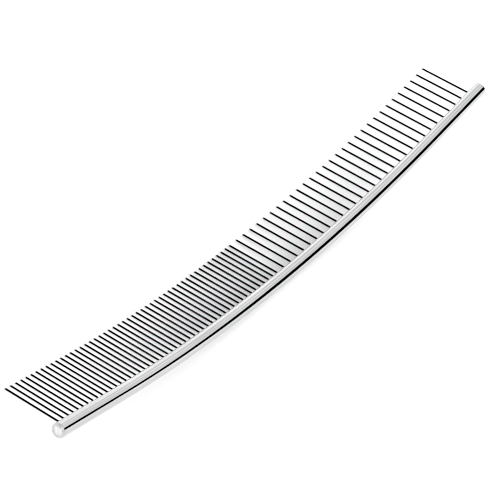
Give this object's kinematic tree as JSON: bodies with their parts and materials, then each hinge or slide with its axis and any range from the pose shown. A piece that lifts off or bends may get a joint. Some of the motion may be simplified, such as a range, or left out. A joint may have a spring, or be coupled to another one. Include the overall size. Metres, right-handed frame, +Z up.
{
  "type": "grooming comb",
  "caption": "Curved steel grooming comb: a bowed round tube back with one row of straight round pins, closely spaced on one half and widely spaced on the other.",
  "frame": {"origin": "on the resting surface, under the centre of the comb's bounding box", "axes": "+X along the comb from the fine end to the coarse end, +Y from the tube to the pin tips, +Z up from the resting surface"},
  "size_m": [0.2464, 0.0254, 0.0224],
  "materials": {
    "spine": "polished steel tube, fine lengthwise hairlines",
    "pin": "polished steel wire, drawn lengthwise",
    "plug": "turned and polished steel face",
    "core": "plain drawn bar, unpolished"
  },
  "bodies": {
    "root": {"spine_tube": "spine", "pin_core": "core", "fine_end_plug": "plug", "coarse_end_plug": "plug", "fine_pins_01": "pin", "fine_pins_02": "pin", "fine_pins_03": "pin", "fine_pins_04": "pin", "fine_pins_05": "pin", "fine_pins_06": "pin", "fine_pins_07": "pin", "fine_pins_08": "pin", "fine_pins_09": "pin", "fine_pins_10": "pin", "fine_pins_11": "pin", "fine_pins_12": "pin", "fine_pins_13": "pin", "fine_pins_14": "pin", "fine_pins_15": "pin", "fine_pins_16": "pin", "fine_pins_17": "pin", "fine_pins_18": "pin", "fine_pins_19": "pin", "fine_pins_20": "pin", "fine_pins_21": "pin", "fine_pins_22": "pin", "fine_pins_23": "pin", "fine_pins_24": "pin", "fine_pins_25": "pin", "coarse_pin_01": "pin", "coarse_pin_02": "pin", "coarse_pin_03": "pin", "coarse_pin_04": "pin", "coarse_pin_05": "pin", "coarse_pin_06": "pin", "coarse_pin_07": "pin", "coarse_pin_08": "pin", "coarse_pin_09": "pin", "coarse_pin_10": "pin", "coarse_pin_11": "pin", "coarse_pin_12": "pin", "coarse_pin_13": "pin", "coarse_pin_14": "pin", "coarse_pin_15": "pin", "coarse_pin_16": "pin", "coarse_pin_17": "pin", "coarse_pin_18": "pin", "coarse_pin_19": "pin", "coarse_pin_20": "pin", "coarse_pin_21": "pin", "coarse_pin_22": "pin", "coarse_pin_23": "pin", "coarse_pin_24": "pin", "coarse_pin_25": "pin", "coarse_pin_26": "pin", "coarse_pin_27": "pin", "coarse_pin_28": "pin", "coarse_pin_29": "pin", "coarse_pin_30": "pin"}
  },
  "joints": []
}
